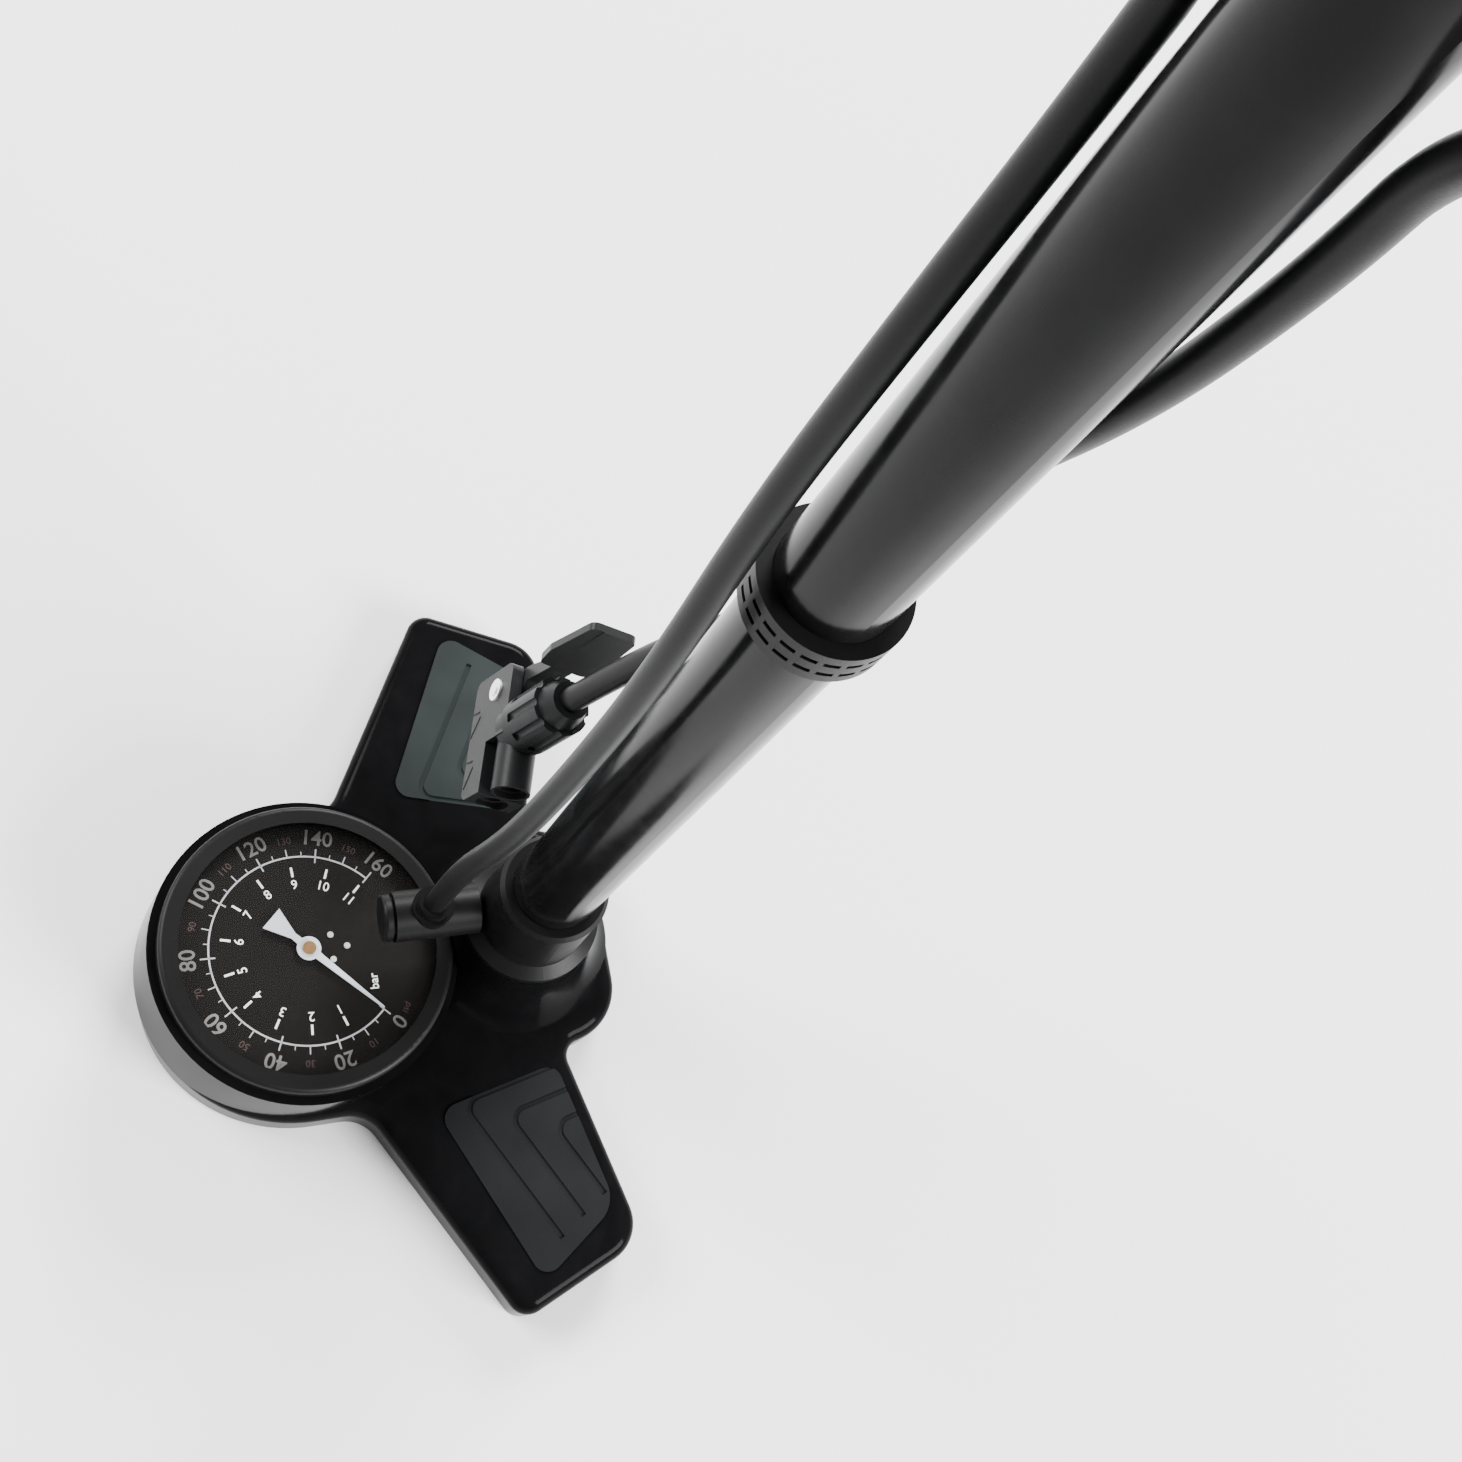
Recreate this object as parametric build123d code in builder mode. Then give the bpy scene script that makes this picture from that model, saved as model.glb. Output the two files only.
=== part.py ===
from build123d import *
import os
from math import cos, pi, radians, sin, tan

# Hand-operated floor pump with a built-in gauge, a hose and a twin valve head.
# Millimetres. The floor is z = 0, the barrel stands on the origin, the gauge is
# toward -Y and the two foot wings reach out along X.

os.makedirs("parts", exist_ok=True)

# Fits
slide_gap = 0.05
seat_gap = 0.05
free_gap = 0.5

# Base moulding
base_bottom = 2.0
wing_top = 20.0
base_wall = 3.5
base_edge = 6.0
hump_top = 52.0
boss_radius = 8.0

# Foot pads
pad_depth = 1.8
pad_rise = 0.6
groove_width = 2.0
groove_depth = 0.7
groove_count = 3
groove_corner = (59.6, -28.3)
groove_shift = (6.4, 16.2)
groove_reach = 61.0
groove_shorter = 14.5
groove_turn = 28.6

# Rubber feet under the base
foot_radius = 7.5
foot_spots = [(0, 0), (0, -116), (104, 4), (-104, 4)]

# Barrel and its fittings
barrel_radius = 15.0
barrel_wall = 1.5
barrel_bottom = 40.0
barrel_top = 548.0
socket_top = 91.0
socket_wall = 4.5
cap_wall = 4.0
cap_skirt = 12.0
cap_height = 24.0
bush_radius = 9.0
ring_bottom = 329.0
ring_height = 12.0
ring_wall = 4.0

# Check valve at the foot of the barrel
valve_seat_top = 60.0
ball_radius = 3.2
ball_pocket = 4.0
ball_centre = 51.0

# Rod, piston and handle
rod_radius = 6.0
rod_tip_radius = 4.0
piston_bottom = 78.0
piston_height = 18.0
piston_play = 0.5
cup_start = 6.0
cup_height = 6.0
grip_rise = 56.0
grip_radius = 15.0
grip_start = 20.0
handle_half = 118.0
bar_radius = 9.0
hub_radius = 13.0
hub_rise = 14.0

# Gauge
gauge_spot = (0, -79, 40.6)
gauge_tilt = 6.4
bowl_wall = 5.0
case_radius = 50.0
case_depth = 22.0
case_wall = 1.5
dial_inset = 2.0
dial_thick = 1.0
bezel_overhang = 2.0
bezel_width = 6.5
bezel_height = 5.5
lens_thick = 1.5
lens_lift = 3.0
needle_lift = 1.2
needle_thick = 0.6
needle_reach = 34.0
needle_tail = 17.0
zero_angle = 45.0

# Outlet
outlet_height = 62.0
outlet_radius = 9.0
outlet_end = -56.0
outlet_cap_length = 4.0
ferrule_radius = 5.8

# Hose
hose_radius = 4.0
hose_start = (-3.0, -39.0, 72.0)

# Valve head: x runs toward the valve openings, z runs up the hose
head_spot = (-35, -21, 162)
head_turn = -17.0
head_lean = 15.0
head_half_width = 8.0
head_depth = 25.0
head_front = 21.0
head_back = 20.0
valve_spacing = 12.5
lever_half_width = 3.7
blade_thick = 2.4
blade_corner = 2.5
lever_pin_spot = (-13.0, -10.0)
pin_radius = 2.0
nut_radius = 9.5
nut_length = 27.0
nut_grip = 21.0
hose_socket = 17.0
valve_bore = 5.2
valve_depth = 16.0
schrader_radius = 3.9
presta_radius = 3.0
grommet_length = 12.0
tube_radius = 6.2
tube_length = 17.0

bore_radius = barrel_radius - barrel_wall
socket_radius = barrel_radius + socket_wall
ring_radius = barrel_radius + ring_wall
cap_radius = barrel_radius + cap_wall
cap_top = barrel_top + cap_height
grip_centre = cap_top + grip_rise
handle_top = grip_centre + hub_rise
bowl_radius = case_radius + bowl_wall
dial_radius = case_radius - dial_inset
bezel_radius = case_radius + bezel_overhang
bezel_opening = bezel_radius - bezel_width
piston_top = piston_bottom + piston_height

gauge_plane = Plane(
    origin=gauge_spot,
    x_dir=(1, 0, 0),
    z_dir=(0, sin(radians(gauge_tilt)), cos(radians(gauge_tilt))),
)
gauge_axis = Axis(gauge_spot, gauge_plane.z_dir)
valve_dir = Vector(cos(radians(head_turn)), sin(radians(head_turn)), 0)
side_dir = Vector(0, 0, 1).cross(valve_dir)
hose_dir = Vector(0, 0, 1) * cos(radians(head_lean)) + side_dir * sin(radians(head_lean))
head_plane = Plane(origin=head_spot, x_dir=valve_dir, z_dir=hose_dir)
head_side = Plane(origin=head_spot, x_dir=valve_dir, z_dir=-head_plane.y_dir)


# Base: one moulding with the gauge bowl, two foot wings and the barrel hump
wing_points = [(57, -136), (57, -62), (139, -17), (119, 33), (44, 14), (37, 38.5)]
wing_radii = [56, 14, 8, 15, 6.5, 22]
outline_points = wing_points + [(-x, y) for x, y in reversed(wing_points)]
outline_radii = wing_radii + wing_radii[::-1]
pad_points = [(61, -38), (127, -8), (105, 23), (50, 9)]
pad_radii = [6, 6, 12, 6]


def pad_outline(side):
    FilletPolyline(*[(side * x, y) for x, y in pad_points], radius=pad_radii, close=True)


with BuildPart() as base_body:
    with BuildSketch(Plane.XY.offset(base_bottom)) as outline:
        with BuildLine():
            FilletPolyline(*outline_points, radius=outline_radii, close=True)
        make_face()
    extrude(amount=wing_top - base_bottom)
    fillet(base_body.faces().sort_by(Axis.Z)[-1].edges(), base_edge)
    with BuildSketch(gauge_plane.offset(-case_depth - 9)):
        Circle(bowl_radius)
    extrude(amount=case_depth + 9)
    with BuildSketch(Plane.XZ):
        with BuildLine():
            Polyline((25, hump_top), (0, hump_top), (0, 12), (38, 12), (38, 19))
            ThreePointArc((38, 19), (29, 33), (25, hump_top))
        make_face()
    revolve(axis=Axis.Z)
    with BuildSketch(Plane.XY.offset(base_bottom)):
        add(outline.sketch)
        offset(amount=-base_wall, mode=Mode.REPLACE)
    extrude(amount=10, mode=Mode.SUBTRACT)
    with BuildSketch(Plane.XY.offset(base_bottom)):
        with Locations(*foot_spots):
            Circle(boss_radius)
    extrude(amount=12)
    with BuildSketch(gauge_plane.offset(-case_depth)):
        Circle(case_radius + seat_gap)
    extrude(amount=case_depth + 20, mode=Mode.SUBTRACT)
    with BuildSketch(gauge_plane):
        Circle(bezel_radius + seat_gap)
    extrude(amount=20, mode=Mode.SUBTRACT)
    with BuildSketch(Plane.XY.offset(barrel_bottom)):
        Circle(barrel_radius + seat_gap)
    extrude(amount=60, mode=Mode.SUBTRACT)
    with BuildSketch(Plane.XY.offset(wing_top)):
        with BuildLine():
            pad_outline(1)
        make_face()
        with BuildLine():
            pad_outline(-1)
        make_face()
    extrude(amount=-pad_depth, mode=Mode.SUBTRACT)
base_body.part.label = "base_body"

# Pads: soft inlays in the wings with nested grooves that run along two sides
pads = {}
for name, side in (("foot_pad_right", 1), ("foot_pad_left", -1)):
    with BuildPart() as pad:
        with BuildSketch(Plane.XY.offset(wing_top - pad_depth)):
            with BuildLine():
                pad_outline(side)
            make_face()
            offset(amount=-seat_gap, mode=Mode.REPLACE)
        extrude(amount=pad_depth + pad_rise)
        for step in range(groove_count):
            corner_x = groove_corner[0] + groove_shift[0] * step
            corner_y = groove_corner[1] + groove_shift[1] * step
            reach = groove_reach - groove_shorter * step
            end_x = corner_x + reach * cos(radians(groove_turn))
            end_y = corner_y + reach * sin(radians(groove_turn))
            with BuildSketch(Plane.XY.offset(wing_top + pad_rise)):
                with BuildLine():
                    FilletPolyline(
                        (side * end_x, end_y),
                        (side * corner_x, corner_y),
                        (side * (corner_x - 0.234 * (16 - corner_y)), 16),
                        radius=5,
                    )
                trace(line_width=groove_width)
            extrude(amount=-groove_depth, mode=Mode.SUBTRACT)
    pad.part.label = name
    pads[name] = pad.part

# Rubber feet: plain discs under the bosses
with BuildPart() as rest_feet:
    with BuildSketch():
        with Locations(*foot_spots):
            Circle(foot_radius)
    extrude(amount=base_bottom)
rest_feet.part.label = "rest_feet"

# Barrel, its socket collar, the clip ring and the cap
with BuildPart() as barrel:
    with BuildSketch(Plane.XY.offset(barrel_bottom)):
        Circle(barrel_radius)
        Circle(bore_radius, mode=Mode.SUBTRACT)
    extrude(amount=barrel_top - barrel_bottom)
barrel.part.label = "barrel"

with BuildPart() as socket_collar:
    with BuildSketch(Plane.XZ):
        with BuildLine():
            Polyline(
                (barrel_radius + seat_gap, hump_top),
                (25, hump_top),
                (25, hump_top + 3),
                (socket_radius + 1, hump_top + 6),
                (socket_radius, socket_top - 9),
                (socket_radius, socket_top - 1.5),
                (socket_radius - 1.5, socket_top),
                (barrel_radius + seat_gap, socket_top),
                close=True,
            )
        make_face()
    revolve(axis=Axis.Z)
socket_collar.part.label = "socket_collar"

# The clip hook stands off the ring's back and holds the hose that passes there
clip_spot = (-10.0, 23.0)
clip_inner = hose_radius + 0.6
clip_outer = clip_inner + 2.0
with BuildPart() as clip_ring:
    with BuildSketch(Plane.XY.offset(ring_bottom)):
        Circle(ring_radius)
        with Locations(clip_spot):
            Circle(clip_outer)
        with Locations((-7.2, 16.6)):
            Rectangle(9, 7, rotation=23.5)
        with Locations(clip_spot):
            Circle(clip_inner, mode=Mode.SUBTRACT)
        with Locations((-13.2, 30.4)):
            Rectangle(5.5, 12, rotation=23.5, mode=Mode.SUBTRACT)
        Circle(barrel_radius + seat_gap, mode=Mode.SUBTRACT)
    extrude(amount=ring_height)
    for level in (3.0, 7.5):
        with BuildSketch(Plane.XY.offset(ring_bottom + level)):
            with PolarLocations(ring_radius, 18, start_angle=150, angular_range=280, endpoint=True):
                Rectangle(1.6, 4.0)
        extrude(amount=1.4, mode=Mode.SUBTRACT)
clip_ring.part.label = "clip_ring"

with BuildPart() as barrel_cap:
    with BuildSketch(Plane.XY.offset(barrel_top - cap_skirt)):
        Circle(cap_radius)
    extrude(amount=cap_top - barrel_top + cap_skirt)
    fillet(barrel_cap.edges().group_by(Axis.Z)[-1], 4)
    chamfer(barrel_cap.edges().group_by(Axis.Z)[0], 1)
    with BuildSketch(Plane.XY.offset(barrel_top - cap_skirt)):
        Circle(barrel_radius + seat_gap)
    extrude(amount=cap_skirt, mode=Mode.SUBTRACT)
    with BuildSketch(Plane.XY.offset(barrel_top)):
        Circle(bush_radius + seat_gap)
    extrude(amount=cap_top - barrel_top, mode=Mode.SUBTRACT)
barrel_cap.part.label = "barrel_cap"

with BuildPart() as rod_bush:
    with BuildSketch(Plane.XY.offset(barrel_top)):
        Circle(bush_radius)
        Circle(rod_radius + slide_gap, mode=Mode.SUBTRACT)
    extrude(amount=cap_top - barrel_top)
rod_bush.part.label = "rod_bush"

with BuildPart() as stop_bumper:
    with BuildSketch(Plane.XY.offset(barrel_top - 8)):
        Circle(bore_radius - seat_gap)
        Circle(rod_radius + free_gap, mode=Mode.SUBTRACT)
    extrude(amount=8)
stop_bumper.part.label = "stop_bumper"

# Check valve: a seat plug and the ball in its pocket
with BuildPart() as valve_seat:
    with BuildSketch(Plane.XY.offset(barrel_bottom)):
        Circle(bore_radius - seat_gap)
    extrude(amount=valve_seat_top - barrel_bottom)
    with BuildSketch(Plane.XY.offset(barrel_bottom + 3)):
        Circle(ball_pocket)
    extrude(amount=ball_centre + ball_radius + free_gap - barrel_bottom - 3, mode=Mode.SUBTRACT)
    with BuildSketch(Plane.XY.offset(barrel_bottom)):
        Circle(2)
    extrude(amount=valve_seat_top - barrel_bottom, mode=Mode.SUBTRACT)
valve_seat.part.label = "valve_seat"

with BuildPart() as valve_ball:
    with Locations((0, 0, ball_centre)):
        Sphere(ball_radius)
valve_ball.part.label = "valve_ball"

# Rod, piston and handle: everything that rises together
with BuildPart() as piston_rod:
    with BuildSketch(Plane.XY.offset(piston_bottom - 8)):
        Circle(rod_tip_radius)
    extrude(amount=piston_height + 8)
    with BuildSketch(Plane.XY.offset(piston_top)):
        Circle(rod_radius)
    extrude(amount=grip_centre - piston_top)
piston_rod.part.label = "piston_rod"

with BuildPart() as piston:
    with BuildSketch(Plane.XY.offset(piston_bottom)):
        Circle(bore_radius - piston_play)
        Circle(rod_tip_radius + seat_gap, mode=Mode.SUBTRACT)
    extrude(amount=piston_height)
    with BuildSketch(Plane.XY.offset(piston_bottom + cup_start)):
        Circle(bore_radius)
        Circle(10, mode=Mode.SUBTRACT)
    extrude(amount=cup_height, mode=Mode.SUBTRACT)
piston.part.label = "piston"

with BuildPart() as piston_cup:
    with BuildSketch(Plane.XY.offset(piston_bottom + cup_start)):
        Circle(bore_radius - slide_gap)
        Circle(10 + seat_gap, mode=Mode.SUBTRACT)
    extrude(amount=cup_height)
piston_cup.part.label = "piston_cup"

with BuildPart() as piston_nut:
    with BuildSketch(Plane.XY.offset(piston_bottom - 5)):
        RegularPolygon(6.5, 6, major_radius=False)
        Circle(rod_tip_radius + seat_gap, mode=Mode.SUBTRACT)
    extrude(amount=5)
piston_nut.part.label = "piston_nut"

with BuildPart() as handle_core:
    with BuildSketch(Plane.XY.offset(cap_top + 1)):
        Circle(hub_radius)
    extrude(amount=handle_top - cap_top - 1)
    fillet(handle_core.edges().group_by(Axis.Z)[-1], 2)
    with BuildSketch(Plane.YZ.offset(-handle_half)):
        with Locations((0, grip_centre)):
            Circle(bar_radius)
    extrude(amount=2 * handle_half)
    with BuildSketch(Plane.XY.offset(cap_top + 1)):
        Circle(rod_radius + seat_gap)
    extrude(amount=grip_centre - cap_top - 1, mode=Mode.SUBTRACT)
    with BuildSketch(Plane.XY.offset(grip_centre)):
        Circle(2.6)
    extrude(amount=handle_top - grip_centre, mode=Mode.SUBTRACT)
    with BuildSketch(Plane.XY.offset(handle_top)):
        Circle(5)
    extrude(amount=-4, mode=Mode.SUBTRACT)
handle_core.part.label = "handle_core"

with BuildPart() as handle_bolt:
    with BuildSketch(Plane.XY.offset(handle_top - 4)):
        Circle(5 - seat_gap)
    extrude(amount=3.5)
    with BuildSketch(Plane.XY.offset(handle_top - 2)):
        RegularPolygon(2.5, 6)
    extrude(amount=2, mode=Mode.SUBTRACT)
    with BuildSketch(Plane.XY.offset(grip_centre)):
        Circle(2.6 - seat_gap)
    extrude(amount=handle_top - 4 - grip_centre)
handle_bolt.part.label = "handle_bolt"

grips = {}
for name, side in (("grip_right", 1), ("grip_left", -1)):
    inner = grip_centre + bar_radius + seat_gap
    outer = grip_centre + grip_radius
    with BuildPart() as grip:
        with BuildSketch(Plane.XZ):
            with BuildLine():
                Polyline(
                    (side * handle_half, outer),
                    (side * handle_half, inner),
                    (side * grip_start, inner),
                    (side * grip_start, outer - 2),
                )
                ThreePointArc(
                    (side * grip_start, outer - 2),
                    (side * (grip_start + 50), outer),
                    (side * (handle_half - 8), outer - 1.5),
                )
                Line((side * (handle_half - 8), outer - 1.5), (side * handle_half, outer))
            make_face()
        revolve(axis=Axis((0, 0, grip_centre), (1, 0, 0)))
    grip.part.label = name
    grips[name] = grip.part

with BuildPart() as grip_caps:
    for side in (1, -1):
        with BuildSketch(Plane.YZ.offset(side * handle_half)):
            with Locations((0, grip_centre)):
                Circle(grip_radius)
        extrude(amount=side * 4)
    ends = grip_caps.faces().sort_by(Axis.X)
    fillet(ends[0].edges() + ends[-1].edges(), 2.5)
grip_caps.part.label = "grip_caps"

# Gauge: every piece is square to the tilted face
with BuildPart() as gauge_case:
    with BuildSketch(gauge_plane.offset(-case_depth)):
        Circle(case_radius)
    extrude(amount=case_depth)
    with BuildSketch(gauge_plane.offset(-case_depth + case_wall)):
        Circle(case_radius - case_wall)
    extrude(amount=case_depth, mode=Mode.SUBTRACT)
gauge_case.part.label = "gauge_case"

with BuildPart() as movement_plate:
    with BuildSketch(gauge_plane.offset(-case_depth + case_wall)):
        Rectangle(34, 24)
    extrude(amount=case_depth - case_wall - 1.5)
    with BuildSketch(gauge_plane.offset(-case_depth + case_wall + 4)):
        Rectangle(28, 30)
    extrude(amount=11, mode=Mode.SUBTRACT)
    with BuildSketch(gauge_plane.offset(-case_depth + case_wall)):
        Circle(1.0 + slide_gap)
    extrude(amount=case_depth, mode=Mode.SUBTRACT)
movement_plate.part.label = "movement_plate"

with BuildPart() as pressure_tube:
    with BuildSketch(gauge_plane.offset(-case_depth + case_wall + 4)):
        Circle(38)
        Circle(35, mode=Mode.SUBTRACT)
        with Locations((0, 30)):
            Rectangle(20, 40, mode=Mode.SUBTRACT)
    extrude(amount=9)
    with BuildSketch(gauge_plane.offset(-case_depth + case_wall)):
        with Locations((-13.5, 34.0)):
            Rectangle(7, 10)
    extrude(amount=13)
pressure_tube.part.label = "pressure_tube"

with BuildPart() as dial_plate:
    with BuildSketch(gauge_plane.offset(-dial_thick)):
        Circle(dial_radius)
        Circle(1.0 + free_gap, mode=Mode.SUBTRACT)
    extrude(amount=dial_thick)
dial_plate.part.label = "dial_plate"

with BuildPart() as dial_screws:
    with BuildSketch(gauge_plane):
        with Locations((4.5, 8.5), (-4.5, 8.5), (0, 14)):
            Circle(1.1)
    extrude(amount=0.5)
dial_screws.part.label = "dial_screws"

with BuildPart() as needle_staff:
    with BuildSketch(gauge_plane.offset(-12)):
        Circle(1.0)
    extrude(amount=12 + needle_lift + needle_thick)
    with BuildSketch(gauge_plane.offset(needle_lift + needle_thick)):
        Circle(2.4)
    extrude(amount=0.9)
needle_staff.part.label = "needle_staff"

needle_plane = Plane(
    origin=gauge_plane.from_local_coords(Vector(0, 0, needle_lift)),
    x_dir=gauge_plane.x_dir * cos(radians(zero_angle)) + gauge_plane.y_dir * sin(radians(zero_angle)),
    z_dir=gauge_plane.z_dir,
)
with BuildPart() as needle:
    with BuildSketch(needle_plane):
        with BuildLine():
            Polyline(
                (needle_reach, 0.35),
                (0, 1.5),
                (-7, 1.2),
                (-needle_tail, 4.6),
                (-needle_tail, -4.6),
                (-7, -1.2),
                (0, -1.5),
                (needle_reach, -0.35),
                close=True,
            )
        make_face()
        Circle(4.3)
        Circle(1.0, mode=Mode.SUBTRACT)
    extrude(amount=needle_thick)
needle.part.label = "needle"

with BuildPart() as gauge_lens:
    with BuildSketch(gauge_plane.offset(lens_lift)):
        Circle(dial_radius - 0.5)
    extrude(amount=lens_thick)
gauge_lens.part.label = "gauge_lens"

with BuildPart() as gauge_bezel:
    with BuildSketch(gauge_plane):
        Circle(bezel_radius)
    extrude(amount=bezel_height)
    fillet(gauge_bezel.edges().group_by(gauge_axis)[-1], 2)
    with BuildSketch(gauge_plane):
        Circle(bezel_opening)
    extrude(amount=bezel_height, mode=Mode.SUBTRACT)
    with BuildSketch(gauge_plane):
        Circle(dial_radius - 0.5 + seat_gap)
    extrude(amount=lens_lift + lens_thick, mode=Mode.SUBTRACT)
gauge_bezel.part.label = "gauge_bezel"

# Outlet: a stepped cylinder over the dial's inner edge that turns the air up into the hose
with BuildPart() as outlet_body:
    with BuildSketch(Plane.XZ.offset(-outlet_end - outlet_cap_length)):
        with Locations((-3, outlet_height)):
            Circle(outlet_radius)
    extrude(amount=-30)
    with BuildSketch(Plane.XY.offset(outlet_height)):
        with Locations(hose_start[:2]):
            Circle(ferrule_radius + 1.5)
    extrude(amount=hose_start[2] - outlet_height)
    with BuildSketch(Plane.XY.offset(hump_top)):
        Circle(socket_radius + 1)
    extrude(amount=40, mode=Mode.SUBTRACT)
    with BuildSketch(Plane.XY.offset(hump_top - 2)):
        Circle(25)
    extrude(amount=8, mode=Mode.SUBTRACT)
outlet_body.part.label = "outlet_body"

with BuildPart() as outlet_cap:
    with BuildSketch(Plane.XZ.offset(-outlet_end)):
        with Locations((-3, outlet_height)):
            Circle(outlet_radius - 0.6)
    extrude(amount=-outlet_cap_length + 1)
    fillet(outlet_cap.edges().group_by(Axis.Y)[0], 1.2)
    with BuildSketch(Plane.XZ.offset(-outlet_end - outlet_cap_length + 1)):
        with Locations((-3, outlet_height)):
            Circle(outlet_radius - 2)
    extrude(amount=-1)
outlet_cap.part.label = "outlet_cap"

with BuildPart() as hose_ferrule:
    with BuildSketch(Plane.XY.offset(hose_start[2])):
        with Locations(hose_start[:2]):
            Circle(ferrule_radius)
            Circle(hose_radius + seat_gap, mode=Mode.SUBTRACT)
    extrude(amount=5)
hose_ferrule.part.label = "hose_ferrule"

# Valve head: a body with two valve openings and a slot for the lever's cam
valve_face = Plane(
    origin=head_plane.from_local_coords(Vector(head_front, 0, -head_depth / 2)),
    x_dir=hose_dir,
    z_dir=valve_dir,
)
valve_sides = [(valve_spacing / 2, 0), (-valve_spacing / 2, 0)]
pin_plane = Plane(
    origin=head_plane.from_local_coords(Vector(lever_pin_spot[0], 0, lever_pin_spot[1])),
    x_dir=valve_dir,
    z_dir=-head_plane.y_dir,
)
with BuildPart() as head_body:
    with BuildSketch(head_side):
        with Locations(((head_front - head_back) / 2, -head_depth / 2)):
            RectangleRounded(head_front + head_back, head_depth, 3)
    extrude(amount=head_half_width, both=True)
    with BuildSketch(head_side):
        with Locations((head_front, 0)):
            Rectangle(2 * tube_length, head_depth)
    extrude(amount=head_half_width, both=True, mode=Mode.SUBTRACT)
    with BuildSketch(valve_face):
        with Locations(valve_sides[0]):
            Circle(tube_radius)
    extrude(amount=-tube_length - 4)
    with BuildSketch(head_plane):
        Circle(nut_radius - 1)
    extrude(amount=-6)
    with BuildSketch(pin_plane):
        Rectangle(15, 15)
        with Locations((-5, 10)):
            Rectangle(20, 25)
    extrude(amount=lever_half_width + 0.4, both=True, mode=Mode.SUBTRACT)
    with BuildSketch(pin_plane):
        Circle(pin_radius + slide_gap)
    extrude(amount=head_half_width, both=True, mode=Mode.SUBTRACT)
    with BuildSketch(valve_face):
        with Locations(*valve_sides):
            Circle(valve_bore)
    extrude(amount=-valve_depth, mode=Mode.SUBTRACT)
head_body.part.label = "head_body"

with BuildPart() as valve_grommets:
    with BuildSketch(valve_face.offset(-2)):
        with Locations(*valve_sides):
            Circle(valve_bore - seat_gap)
        with Locations(valve_sides[0]):
            Circle(schrader_radius, mode=Mode.SUBTRACT)
        with Locations(valve_sides[1]):
            Circle(presta_radius, mode=Mode.SUBTRACT)
    extrude(amount=-grommet_length)
valve_grommets.part.label = "valve_grommets"

with BuildPart() as lever_pin:
    with BuildSketch(pin_plane):
        Circle(pin_radius)
    extrude(amount=head_half_width + 1.2, both=True)
lever_pin.part.label = "lever_pin"

with BuildPart() as pin_washers:
    for side in (1, -1):
        with BuildSketch(pin_plane.offset(side * head_half_width)):
            Circle(3.6)
            Circle(pin_radius + seat_gap, mode=Mode.SUBTRACT)
        extrude(amount=side * 0.7)
pin_washers.part.label = "pin_washers"

blade_points = [(-8, 28), (8, 28), (9.5, 38), (7.5, 60), (-7.5, 60), (-9.5, 38)]
with BuildPart() as head_lever:
    with BuildSketch(pin_plane):
        Circle(6.5)
        with BuildLine():
            Polyline(
                (-6.2, 0),
                (-5.6, 14),
                (-3.6, 26),
                (-2.2, 60),
                (0.2, 60),
                (-0.2, 26),
                (-1.0, 12),
                (5.0, 3),
                close=True,
            )
        make_face()
        Circle(pin_radius + slide_gap, mode=Mode.SUBTRACT)
    extrude(amount=lever_half_width, both=True)
    with BuildSketch(Plane(origin=pin_plane.origin, x_dir=-head_plane.y_dir, z_dir=-valve_dir)):
        with BuildLine():
            FilletPolyline(*blade_points, radius=blade_corner, close=True)
        make_face()
    extrude(amount=blade_thick)
head_lever.part.label = "head_lever"

with BuildPart() as head_nut:
    with BuildSketch(head_plane):
        Circle(nut_radius)
    extrude(amount=nut_grip)
    with BuildSketch(head_plane.offset(nut_grip)):
        Circle(nut_radius - 1.5)
    extrude(amount=nut_length - nut_grip, taper=18)
    with BuildSketch(head_plane.offset(4)):
        with PolarLocations(nut_radius + 0.4, 9):
            Circle(1.5)
    extrude(amount=nut_grip, mode=Mode.SUBTRACT)
    with BuildSketch(head_plane.offset(hose_socket)):
        Circle(hose_radius + seat_gap)
    extrude(amount=nut_length, mode=Mode.SUBTRACT)
head_nut.part.label = "head_nut"

# Hose: out of the outlet, up the barrel, over in an open arch, down behind the
# barrel through the clip and into the nut of the valve head
hose_end = head_plane.from_local_coords(Vector(0, 0, hose_socket))
hose_last = head_plane.from_local_coords(Vector(0, 0, hose_socket + 43))
arch_along = Vector(0.876, 0.482, 0)
arch_lean = Vector(0.309, -0.564, 0.766)
arch_root = Vector(-1, 1.5, 512)
arch_steps = [(-22, 0), (-42, 46), (-42, 83), (-16, 109), (20, 109), (46, 83), (46, 46), (22, 4)]
hose_points = (
    [
        Vector(hose_start),
        Vector(-3, -39, 114),
        Vector(4, -35, 172),
        Vector(4, -31, 235),
        Vector(3, -29, 300),
        Vector(-6, -24.5, 365),
        Vector(-11, -19, 425),
        Vector(-17, -12, 471),
    ]
    + [arch_root + arch_along * s + arch_lean * t for s, t in arch_steps]
    + [
        Vector(16, 15.5, 478),
        Vector(7, 21, 427),
        Vector(-8, 23, 374),
        Vector(-11, 22.8, 318),
        Vector(-22, 11, 270),
        hose_last,
        hose_end,
    ]
)


def bend_radii(points):
    radii = []
    for before, corner, after in zip(points, points[1:], points[2:]):
        turn = (corner - before).get_angle(after - corner)
        shorter = min((corner - before).length, (after - corner).length)
        radii.append(0.45 * shorter / tan(radians(turn / 2)))
    return radii


hose_radii = bend_radii(hose_points)
print("hose bends", [round(radius) for radius in hose_radii])
print("hose runs", [round((b - a).length) for a, b in zip(hose_points, hose_points[1:])])

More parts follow.
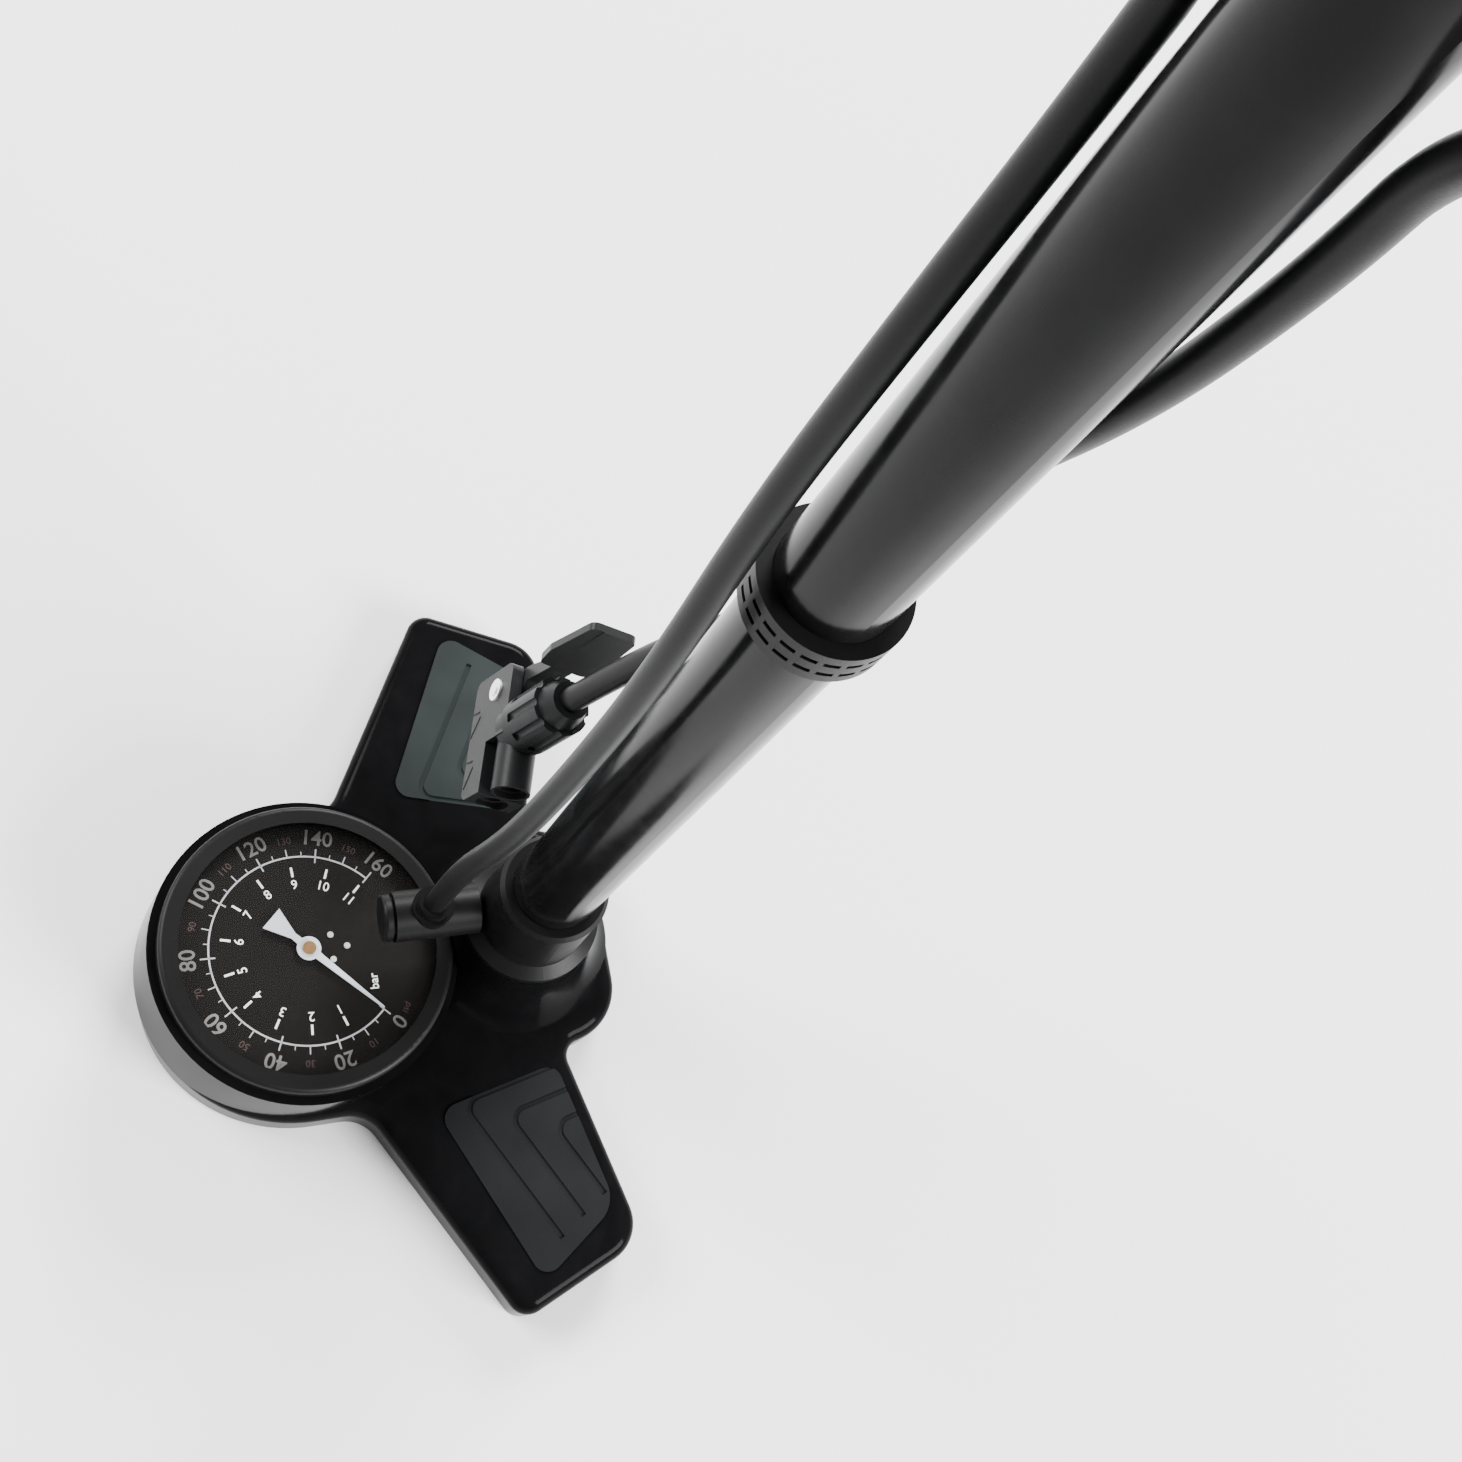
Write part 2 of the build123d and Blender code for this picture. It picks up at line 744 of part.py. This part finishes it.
with BuildPart() as hose:
    with BuildLine() as route:
        FilletPolyline(*hose_points, radius=hose_radii)
    with BuildSketch(Plane.XY.offset(hose_start[2]).shift_origin(hose_start)):
        Circle(hose_radius)
    sweep()
hose.part.label = "hose"
hose_length = route.wire().length
print("hose length", round(hose_length))
print("hose volume over section x length", hose.part.volume / (hose_length * pi * hose_radius**2))

built = [
    base_body, rest_feet, barrel, socket_collar, clip_ring, barrel_cap, rod_bush,
    stop_bumper, valve_seat, valve_ball, piston_rod, piston, piston_cup, piston_nut,
    handle_core, handle_bolt, grip_caps, gauge_case, movement_plate, pressure_tube,
    dial_plate, dial_screws, needle_staff, needle, gauge_lens, gauge_bezel, outlet_body,
    outlet_cap, hose_ferrule, head_body, valve_grommets, lever_pin, pin_washers,
    head_lever, head_nut, hose,
]
pieces = [builder.part for builder in built] + list(pads.values()) + list(grips.values())
for piece in pieces:
    export_step(piece, f"parts/{piece.label}.step")
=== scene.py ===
from math import cos, pi, radians, sin

import bpy
from mathutils import Matrix, Vector


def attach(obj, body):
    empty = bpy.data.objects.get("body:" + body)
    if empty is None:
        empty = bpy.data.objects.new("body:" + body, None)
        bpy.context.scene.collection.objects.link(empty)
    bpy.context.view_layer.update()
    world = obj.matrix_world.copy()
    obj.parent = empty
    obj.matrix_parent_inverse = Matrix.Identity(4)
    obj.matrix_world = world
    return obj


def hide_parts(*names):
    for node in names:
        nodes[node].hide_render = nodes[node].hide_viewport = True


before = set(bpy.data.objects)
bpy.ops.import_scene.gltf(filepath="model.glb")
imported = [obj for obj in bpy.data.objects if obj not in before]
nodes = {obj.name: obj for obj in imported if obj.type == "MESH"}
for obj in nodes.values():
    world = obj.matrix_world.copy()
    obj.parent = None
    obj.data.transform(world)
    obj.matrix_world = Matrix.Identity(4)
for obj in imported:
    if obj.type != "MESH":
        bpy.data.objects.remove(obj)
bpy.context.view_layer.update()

# ---------------------------------------------------------------------------
# Studio: the pump stands on a plain pale floor under large soft lamps. The
# camera looks down past the handle, close to the barrel's top, rolled so that
# the barrel runs up to the right.
camera_place = Vector((0.1348, -0.1636, 0.6425))
camera_target = Vector((-0.0830, 0.1167, 0.0))
camera_data = bpy.data.cameras.new("studio_camera")
camera_data.sensor_width = 36
camera_data.lens = 41.5
camera_data.clip_start = 0.01
camera = bpy.data.objects.new("studio_camera", camera_data)
bpy.context.collection.objects.link(camera)
camera.location = camera_place
camera.rotation_euler = (camera_target - camera_place).to_track_quat("-Z", "Y").to_euler()
camera.rotation_euler.rotate_axis("Z", radians(43.9))
bpy.context.scene.camera = camera

bpy.ops.object.select_all(action="DESELECT")
bpy.ops.mesh.primitive_plane_add(size=6, location=(0, 0, 0))
floor = bpy.context.object
floor.name = "floor"
floor_paint = bpy.data.materials.new("floor_paint")
floor_paint.use_nodes = True
floor_paint.node_tree.nodes["Principled BSDF"].inputs["Base Color"].default_value = (0.9, 0.9, 0.9, 1)
floor_paint.node_tree.nodes["Principled BSDF"].inputs["Roughness"].default_value = 0.9
floor.data.materials.append(floor_paint)

world = bpy.data.worlds.new("studio_air")
world.use_nodes = True
world.node_tree.nodes["Background"].inputs["Color"].default_value = (1, 1, 1, 1)
world.node_tree.nodes["Background"].inputs["Strength"].default_value = 0.6
bpy.context.scene.world = world


def hang_lamp(name, place, aim, size, watts):
    lamp_data = bpy.data.lights.new(name, "AREA")
    lamp_data.shape = "RECTANGLE"
    lamp_data.size = size[0]
    lamp_data.size_y = size[1]
    lamp_data.energy = watts
    lamp = bpy.data.objects.new(name, lamp_data)
    bpy.context.collection.objects.link(lamp)
    lamp.location = place
    lamp.rotation_euler = (Vector(aim) - Vector(place)).to_track_quat("-Z", "Y").to_euler()


hang_lamp("lamp_right", (1.9, 1.7, 1.5), (0, 0, 0.2), (1.4, 1.4), 260)
hang_lamp("lamp_back", (-2.2, 1.2, 1.6), (0, 0, 0), (1.2, 1.0), 180)
hang_lamp("lamp_left", (-1.6, -2.0, 1.8), (0, 0, 0.1), (1.6, 1.2), 170)

# ---------------------------------------------------------------------------
# Hose: 8 mm black rubber, about 1.06 m long. It leaves the outlet upward, runs
# up beside the barrel, turns over in an open arch below the handle, and comes
# down behind the barrel through the ring's clip into the valve head's nut.


def moulded(name, colour, roughness, grain):
    material = bpy.data.materials.new(name)
    material.use_nodes = True
    tree = material.node_tree
    shader = tree.nodes["Principled BSDF"]
    shader.inputs["Specular IOR Level"].default_value = 0.3
    shader.inputs["IOR"].default_value = 1.3
    place = tree.nodes.new("ShaderNodeTexCoord")
    specks = tree.nodes.new("ShaderNodeTexNoise")
    specks.inputs["Scale"].default_value = grain
    specks.inputs["Detail"].default_value = 6
    clouds = tree.nodes.new("ShaderNodeTexNoise")
    clouds.inputs["Scale"].default_value = 35
    tint = tree.nodes.new("ShaderNodeValToRGB")
    tint.color_ramp.elements[0].position = 0.3
    tint.color_ramp.elements[0].color = [0.75 * c for c in colour] + [1]
    tint.color_ramp.elements[1].position = 0.7
    tint.color_ramp.elements[1].color = [1.2 * c for c in colour] + [1]
    gloss = tree.nodes.new("ShaderNodeMapRange")
    gloss.inputs["To Min"].default_value = roughness - 0.07
    gloss.inputs["To Max"].default_value = roughness + 0.07
    bump = tree.nodes.new("ShaderNodeBump")
    bump.inputs["Strength"].default_value = 0.25
    bump.inputs["Distance"].default_value = 0.0001
    tree.links.new(place.outputs["Object"], specks.inputs["Vector"])
    tree.links.new(place.outputs["Object"], clouds.inputs["Vector"])
    tree.links.new(clouds.outputs["Fac"], tint.inputs["Fac"])
    tree.links.new(tint.outputs["Color"], shader.inputs["Base Color"])
    tree.links.new(specks.outputs["Fac"], gloss.inputs["Value"])
    tree.links.new(gloss.outputs["Result"], shader.inputs["Roughness"])
    tree.links.new(specks.outputs["Fac"], bump.inputs["Height"])
    tree.links.new(bump.outputs["Normal"], shader.inputs["Normal"])
    return material


hose_radius = 0.004
head_spot = Vector((-0.035, -0.021, 0.162))
valve_dir = Vector((cos(radians(-17)), sin(radians(-17)), 0))
hose_dir = Vector((0, 0, 1)) * cos(radians(15)) + Vector((0, 0, 1)).cross(valve_dir) * sin(radians(15))
arch_root = Vector((-0.001, 0.0015, 0.512))
arch_along = Vector((0.876, 0.482, 0))
arch_lean = Vector((0.309, -0.564, 0.766))
arch_steps = [
    (-0.022, 0),
    (-0.042, 0.046),
    (-0.042, 0.083),
    (-0.016, 0.109),
    (0.020, 0.109),
    (0.046, 0.083),
    (0.046, 0.046),
    (0.022, 0.004),
]
hose_route = (
    [
        Vector((-0.003, -0.039, 0.072)),
        Vector((-0.003, -0.039, 0.114)),
        Vector((0.004, -0.035, 0.172)),
        Vector((0.004, -0.031, 0.235)),
        Vector((0.003, -0.029, 0.300)),
        Vector((-0.006, -0.0245, 0.365)),
        Vector((-0.011, -0.019, 0.425)),
        Vector((-0.017, -0.012, 0.471)),
    ]
    + [arch_root + arch_along * s + arch_lean * t for s, t in arch_steps]
    + [
        Vector((0.016, 0.0155, 0.478)),
        Vector((0.007, 0.021, 0.427)),
        Vector((-0.008, 0.023, 0.374)),
        Vector((-0.011, 0.0228, 0.318)),
        Vector((-0.022, 0.011, 0.270)),
        head_spot + hose_dir * 0.060,
        head_spot + hose_dir * 0.017,
    ]
)
hose_curve = bpy.data.curves.new("hose_tube", "CURVE")
hose_curve.dimensions = "3D"
hose_line = hose_curve.splines.new("NURBS")
hose_line.points.add(len(hose_route) - 1)
for point, place in zip(hose_line.points, hose_route):
    point.co = (*place, 1)
hose_line.order_u = 3
hose_line.use_endpoint_u = True
hose_line.resolution_u = 12
hose_curve.bevel_depth = hose_radius
hose_curve.bevel_resolution = 8
hose_tube = bpy.data.objects.new("hose_tube", hose_curve)
bpy.context.collection.objects.link(hose_tube)
hose_rubber = moulded("hose_rubber", (0.0045, 0.0045, 0.0048), 0.42, 1800)
hose_curve.materials.append(hose_rubber)
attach(hose_tube, "pump")
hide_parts("hose")

# ---------------------------------------------------------------------------
# Base: one glossy black moulding with the gauge bowl, the barrel's hump and the
# two wings. Its polish has faint ripples and a few soft scuffs.


def polished(name, colour, roughness, ripple, bending):
    material = bpy.data.materials.new(name)
    material.use_nodes = True
    tree = material.node_tree
    shader = tree.nodes["Principled BSDF"]
    shader.inputs["Specular IOR Level"].default_value = 0.5
    shader.inputs["IOR"].default_value = bending
    place = tree.nodes.new("ShaderNodeTexCoord")
    waves = tree.nodes.new("ShaderNodeTexNoise")
    waves.inputs["Scale"].default_value = ripple
    waves.inputs["Detail"].default_value = 3
    scuffs = tree.nodes.new("ShaderNodeTexNoise")
    scuffs.inputs["Scale"].default_value = 90
    scuffs.inputs["Detail"].default_value = 8
    scuffs.inputs["Distortion"].default_value = 0.4
    tint = tree.nodes.new("ShaderNodeValToRGB")
    tint.color_ramp.elements[0].position = 0.35
    tint.color_ramp.elements[0].color = [0.85 * c for c in colour] + [1]
    tint.color_ramp.elements[1].position = 0.75
    tint.color_ramp.elements[1].color = [1.25 * c for c in colour] + [1]
    gloss = tree.nodes.new("ShaderNodeMapRange")
    gloss.inputs["From Min"].default_value = 0.45
    gloss.inputs["From Max"].default_value = 0.8
    gloss.inputs["To Min"].default_value = roughness
    gloss.inputs["To Max"].default_value = roughness + 0.06
    bump = tree.nodes.new("ShaderNodeBump")
    bump.inputs["Strength"].default_value = 0.08
    bump.inputs["Distance"].default_value = 0.0004
    tree.links.new(place.outputs["Object"], waves.inputs["Vector"])
    tree.links.new(place.outputs["Object"], scuffs.inputs["Vector"])
    tree.links.new(scuffs.outputs["Fac"], tint.inputs["Fac"])
    tree.links.new(tint.outputs["Color"], shader.inputs["Base Color"])
    tree.links.new(scuffs.outputs["Fac"], gloss.inputs["Value"])
    tree.links.new(gloss.outputs["Result"], shader.inputs["Roughness"])
    tree.links.new(waves.outputs["Fac"], bump.inputs["Height"])
    tree.links.new(bump.outputs["Normal"], shader.inputs["Normal"])
    return material


def finish_node(name, material):
    for slot in nodes[name].material_slots:
        slot.material = material


base_gloss = polished("base_gloss", (0.0035, 0.0035, 0.0038), 0.12, 45, bending=1.08)
finish_node("base_body", base_gloss)

# ---------------------------------------------------------------------------
# Foot pads: soft inlays moulded in thermoplastic rubber and pressed into the
# wings. The left one is painted a lighter grey-green, a painted sheen standing in for the light its rubber
# catches from above, and the right one is nearly black.
# The left pad's lighter colour is painted sheen on the same rubber as the right pad.
pad_painted_sheen = moulded("pad_painted_sheen", (0.012, 0.0155, 0.0155), 0.45, 1500)
pad_dark = moulded("pad_dark", (0.0065, 0.0068, 0.0074), 0.45, 1500)
finish_node("foot_pad_left", pad_painted_sheen)
finish_node("foot_pad_right", pad_dark)

# ---------------------------------------------------------------------------
# Feet: four plain rubber discs glued under the base, scuffed by floors.
foot_rubber = moulded("foot_rubber", (0.01, 0.01, 0.01), 0.7, 900)
finish_node("rest_feet", foot_rubber)

# ---------------------------------------------------------------------------
# Barrel: a drawn steel tube in gloss black paint, with the paint's faint
# orange-peel ripple.
barrel_paint = polished("barrel_paint", (0.0045, 0.0045, 0.0048), 0.16, 60, bending=1.18)
finish_node("barrel", barrel_paint)

# ---------------------------------------------------------------------------
# Fittings on the barrel: the socket collar, clip ring, cap, rod bush and the
# outlet are moulded in one satin black nylon, and the bumper is soft rubber.
satin_black = moulded("satin_black", (0.0035, 0.0035, 0.0038), 0.42, 1400)
for name in ("socket_collar", "clip_ring", "barrel_cap", "rod_bush"):
    finish_node(name, satin_black)
for name in ("outlet_body", "outlet_cap", "hose_ferrule"):
    finish_node(name, satin_black)
finish_node("stop_bumper", foot_rubber)

# ---------------------------------------------------------------------------
# Rod, piston and check valve: a hard-chromed rod with fine drawing lines, a
# nylon piston with a rubber cup, and a brass valve seat with a steel ball.


def metal(name, colour, roughness):
    material = moulded(name, colour, roughness, 700)
    shader = material.node_tree.nodes["Principled BSDF"]
    shader.inputs["Metallic"].default_value = 1
    shader.inputs["Specular IOR Level"].default_value = 0.5
    return material


rod_chrome = metal("rod_chrome", (0.62, 0.63, 0.65), 0.14)
rod_lines = rod_chrome.node_tree.nodes.new("ShaderNodeMapping")
rod_lines.inputs["Scale"].default_value = (1, 1, 0.02)
rod_place = rod_chrome.node_tree.nodes["Texture Coordinate"]
rod_specks = rod_chrome.node_tree.nodes["Noise Texture"]
rod_chrome.node_tree.links.new(rod_place.outputs["Object"], rod_lines.inputs["Vector"])
rod_chrome.node_tree.links.new(rod_lines.outputs["Vector"], rod_specks.inputs["Vector"])
finish_node("piston_rod", rod_chrome)

brass = metal("brass", (0.62, 0.36, 0.17), 0.32)
for name in ("valve_seat", "needle_staff", "movement_plate", "pressure_tube"):
    finish_node(name, brass)
bright_steel = metal("bright_steel", (0.66, 0.66, 0.66), 0.26)
for name in ("valve_ball", "piston_nut", "handle_bolt", "gauge_case"):
    finish_node(name, bright_steel)
nylon_black = moulded("nylon_black", (0.012, 0.012, 0.013), 0.5, 1100)
finish_node("piston", nylon_black)
cup_rubber = moulded("cup_rubber", (0.012, 0.011, 0.010), 0.35, 1600)
finish_node("piston_cup", cup_rubber)

# ---------------------------------------------------------------------------
# Handle: a nylon cross bar on the rod, two rubber grips pushed on from the ends
# and a nylon cap over each end. The grips carry fine moulded rings.
finish_node("handle_core", nylon_black)
finish_node("grip_caps", satin_black)
grip_rubber = moulded("grip_rubber", (0.013, 0.013, 0.0135), 0.6, 1300)
grip_tree = grip_rubber.node_tree
grip_rings = grip_tree.nodes.new("ShaderNodeTexWave")
grip_rings.wave_type = "BANDS"
grip_rings.bands_direction = "X"
grip_rings.inputs["Scale"].default_value = 90
ring_bump = grip_tree.nodes.new("ShaderNodeBump")
ring_bump.inputs["Strength"].default_value = 0.6
ring_bump.inputs["Distance"].default_value = 0.0005
grip_tree.links.new(grip_tree.nodes["Texture Coordinate"].outputs["Object"], grip_rings.inputs["Vector"])
grip_tree.links.new(grip_rings.outputs["Fac"], ring_bump.inputs["Height"])
grip_tree.links.new(grip_tree.nodes["Bump"].outputs["Normal"], ring_bump.inputs["Normal"])
grip_tree.links.new(ring_bump.outputs["Normal"], grip_tree.nodes["Principled BSDF"].inputs["Normal"])
finish_node("grip_right", grip_rubber)
finish_node("grip_left", grip_rubber)

# ---------------------------------------------------------------------------
# Gauge: a 100 mm case in the bowl, tilted 6.4 degrees toward the user, with a
# satin black bezel ring, a clear lens, a black dial and a white needle.
bezel_black = moulded("bezel_black", (0.004, 0.004, 0.0042), 0.42, 1200)
finish_node("gauge_bezel", bezel_black)
dial_black = moulded("dial_black", (0.0042, 0.0034, 0.0028), 0.4, 900)
finish_node("dial_plate", dial_black)
needle_white = moulded("needle_white", (0.48, 0.51, 0.56), 0.35, 900)
finish_node("needle", needle_white)
screw_steel = metal("screw_steel", (0.8, 0.8, 0.78), 0.45)
for name in ("dial_screws", "lever_pin", "pin_washers"):
    finish_node(name, screw_steel)

lens_clear = bpy.data.materials.new("lens_clear")
lens_clear.use_nodes = True
lens_tree = lens_clear.node_tree
lens_shader = lens_tree.nodes["Principled BSDF"]
lens_shader.inputs["Base Color"].default_value = (0.02, 0.02, 0.02, 1)
lens_shader.inputs["Alpha"].default_value = 0.06
lens_haze = lens_tree.nodes.new("ShaderNodeTexNoise")
lens_haze.inputs["Scale"].default_value = 60
lens_gloss = lens_tree.nodes.new("ShaderNodeMapRange")
lens_gloss.inputs["To Min"].default_value = 0.02
lens_gloss.inputs["To Max"].default_value = 0.08
lens_place = lens_tree.nodes.new("ShaderNodeTexCoord")
lens_tree.links.new(lens_place.outputs["Object"], lens_haze.inputs["Vector"])
lens_tree.links.new(lens_haze.outputs["Fac"], lens_gloss.inputs["Value"])
lens_tree.links.new(lens_gloss.outputs["Result"], lens_shader.inputs["Roughness"])
finish_node("gauge_lens", lens_clear)

# ---------------------------------------------------------------------------
# Dial print: a scale ring with ticks, two rows of numbers and a unit label, laid
# as thin ink on the dial. Zero is 45 degrees round from +X and the scale turns
# clockwise through 270 degrees.
dial_seat = Matrix.Translation((0, -0.079, 0.0406)) @ Matrix.Rotation(radians(-6.4), 4, "X")
ink_thick = 0.00006
scale_zero = 45
scale_turn = 270
full_psi = 160
psi_per_bar = 14.504
ring_radius = 0.0344
ring_half_width = 0.0003
long_tick_end = 0.0374
short_tick_end = 0.0362


def ink(name, colour):
    return moulded(name, colour, 0.5, 2500)


def scale_angle(psi):
    return radians(scale_zero - scale_turn * psi / full_psi)


def join_marks(name, marks, material):
    bpy.ops.object.select_all(action="DESELECT")
    for mark in marks:
        mark.select_set(True)
    bpy.context.view_layer.objects.active = marks[0]
    if len(marks) > 1:
        bpy.ops.object.join()
    joined = bpy.context.object
    joined.name = name
    joined.data.materials.clear()
    joined.data.materials.append(material)
    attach(joined, "pump")
    return joined


def seat_print(name, marks, material):
    printed = join_marks(name, marks, material)
    printed.data.transform(dial_seat)


def print_label(words, height, radius, angle, turn, stroke):
    bpy.ops.object.select_all(action="DESELECT")
    bpy.ops.object.text_add(location=(0, 0, 0))
    label = bpy.context.object
    label.data.body = words
    label.data.size = height * 1.4
    label.data.align_x = "CENTER"
    label.data.align_y = "CENTER"
    label.data.extrude = ink_thick / 2
    label.data.offset = stroke
    label.data.resolution_u = 3
    bpy.ops.object.convert(target="MESH")
    label = bpy.context.object
    place = Vector((radius * cos(angle), radius * sin(angle), ink_thick / 2))
    label.data.transform(Matrix.Translation(place) @ Matrix.Rotation(turn, 4, "Z"))
    return label


def print_number(words, height, radius, angle, stroke):
    return print_label(words, height, radius, angle, angle - pi / 2, stroke)


def thin_bar(length, width, thick):
    bpy.ops.object.select_all(action="DESELECT")
    bpy.ops.mesh.primitive_plane_add(size=1, location=(0, 0, 0))
    bar = bpy.context.object
    bpy.ops.object.mode_set(mode="EDIT")
    bpy.ops.mesh.select_all(action="SELECT")
    bpy.ops.transform.resize(value=(length, width, 1))
    bpy.ops.mesh.extrude_region_move(TRANSFORM_OT_translate={"value": (0, 0, thick)})
    bpy.ops.mesh.select_all(action="SELECT")
    bpy.ops.mesh.normals_make_consistent(inside=False)
    bpy.ops.object.mode_set(mode="OBJECT")
    return bar


def print_tick(inner, outer, width, angle):
    tick = thin_bar(outer - inner, width, ink_thick)
    tick.data.transform(
        Matrix.Rotation(angle, 4, "Z") @ Matrix.Translation(((inner + outer) / 2, 0, 0))
    )
    return tick


grey_ink = ink("grey_ink", (0.17, 0.165, 0.16))
white_ink = ink("white_ink", (0.85, 0.85, 0.85))
line_ink = ink("line_ink", (0.42, 0.42, 0.44))
faint_ink = ink("faint_ink", (0.07, 0.045, 0.04))

seat_print(
    "psi_numbers",
    [
        print_number(str(psi), 0.0056, 0.0413, scale_angle(psi), stroke=0.0001)
        for psi in range(0, full_psi + 1, 20)
    ],
    grey_ink,
)
seat_print(
    "psi_half_numbers",
    [
        print_number(str(psi), 0.0026, 0.0405, scale_angle(psi), stroke=0)
        for psi in range(10, full_psi, 20)
    ]
    + [print_number("psi", 0.0026, 0.0412, radians(53), stroke=0)],
    faint_ink,
)
seat_print(
    "bar_numbers",
    [
        print_number(str(bar), 0.0034, 0.0240, scale_angle(bar * psi_per_bar), stroke=0.00002)
        for bar in range(1, 12)
    ]
    + [print_label("bar", 0.0032, 0.0262, radians(58), pi, stroke=0.00002)]
    + [
        print_tick(0.0270, 0.0306, 0.0008, scale_angle(bar * psi_per_bar))
        for bar in range(1, 12)
    ],
    white_ink,
)
seat_print(
    "scale_ticks",
    [print_tick(0.0322, long_tick_end, 0.0005, scale_angle(psi)) for psi in range(0, full_psi + 1, 20)]
    + [print_tick(ring_radius, long_tick_end, 0.0004, scale_angle(psi)) for psi in range(10, full_psi, 20)]
    + [print_tick(ring_radius, short_tick_end, 0.0003, scale_angle(psi)) for psi in range(5, full_psi, 10)],
    line_ink,
)

bpy.ops.object.select_all(action="DESELECT")
bpy.ops.mesh.primitive_circle_add(vertices=144, radius=ring_radius - ring_half_width, location=(0, 0, 0))
scale_ring = bpy.context.object
bpy.ops.object.mode_set(mode="EDIT")
bpy.ops.mesh.select_all(action="SELECT")
bpy.ops.mesh.extrude_region_move()
grow = (ring_radius + ring_half_width) / (ring_radius - ring_half_width)
bpy.ops.transform.resize(value=(grow, grow, 1))
bpy.ops.mesh.select_mode(type="FACE")
bpy.ops.mesh.select_all(action="DESELECT")
bpy.ops.object.mode_set(mode="OBJECT")
for face in scale_ring.data.polygons:
    face.select = face.center.y > abs(face.center.x)
bpy.ops.object.mode_set(mode="EDIT")
bpy.ops.mesh.delete(type="FACE")
bpy.ops.mesh.select_all(action="SELECT")
bpy.ops.mesh.extrude_region_move(TRANSFORM_OT_translate={"value": (0, 0, ink_thick)})
bpy.ops.mesh.select_all(action="SELECT")
bpy.ops.mesh.normals_make_consistent(inside=False)
bpy.ops.object.mode_set(mode="OBJECT")
seat_print("scale_ring", [scale_ring], line_ink)

# ---------------------------------------------------------------------------
# Valve head: a satin grey-black nylon body with a round valve tube, a paddle
# lever on a steel pin, two rubber grommets and a fluted nut on the hose.
head_plastic = moulded("head_plastic", (0.009, 0.0095, 0.010), 0.42, 1400)
finish_node("head_body", head_plastic)
finish_node("head_nut", head_plastic)
lever_plastic = moulded("lever_plastic", (0.014, 0.0142, 0.0146), 0.38, 1400)
finish_node("head_lever", lever_plastic)
finish_node("valve_grommets", cup_rubber)

# ---------------------------------------------------------------------------
# Cheek marks: four fine lines moulded proud on the head's cheek, a short bar
# and a slant beside each end of its lower edge. They are coloured darker than
# the cheek, a painted shade standing in for the shade along their raised edges.
cheek_out = 0.00803
mark_thick = 0.00012
mark_width = 0.0005
cheek_turn = Matrix((valve_dir, hose_dir, valve_dir.cross(hose_dir))).transposed().to_4x4()
cheek_seat = Matrix.Translation(head_spot) @ cheek_turn @ Matrix.Translation((0, 0, cheek_out))


def cheek_mark(start, end):
    run = Vector(end) - Vector(start)
    mark = thin_bar(run.length, mark_width, mark_thick)
    middle = (Vector(start) + Vector(end)) / 2
    mark.data.transform(
        cheek_seat
        @ Matrix.Translation((middle.x, middle.y, 0))
        @ Matrix.Rotation(-Vector((1, 0)).angle_signed(run), 4, "Z")
    )
    return mark


# Painted shade: the raised marks get a darker colour than the head's plastic.
mark_painted_shade = moulded("mark_painted_shade", (0.004, 0.004, 0.0045), 0.55, 1400)
marks = [
    cheek_mark((-0.0090, -0.0248), (-0.0086, -0.0205)),
    cheek_mark((-0.0006, -0.0248), (-0.0068, -0.0195)),
    cheek_mark((0.0080, -0.0248), (0.0084, -0.0205)),
    cheek_mark((0.0170, -0.0242), (0.0106, -0.0195)),
]
join_marks("cheek_marks", marks, mark_painted_shade)
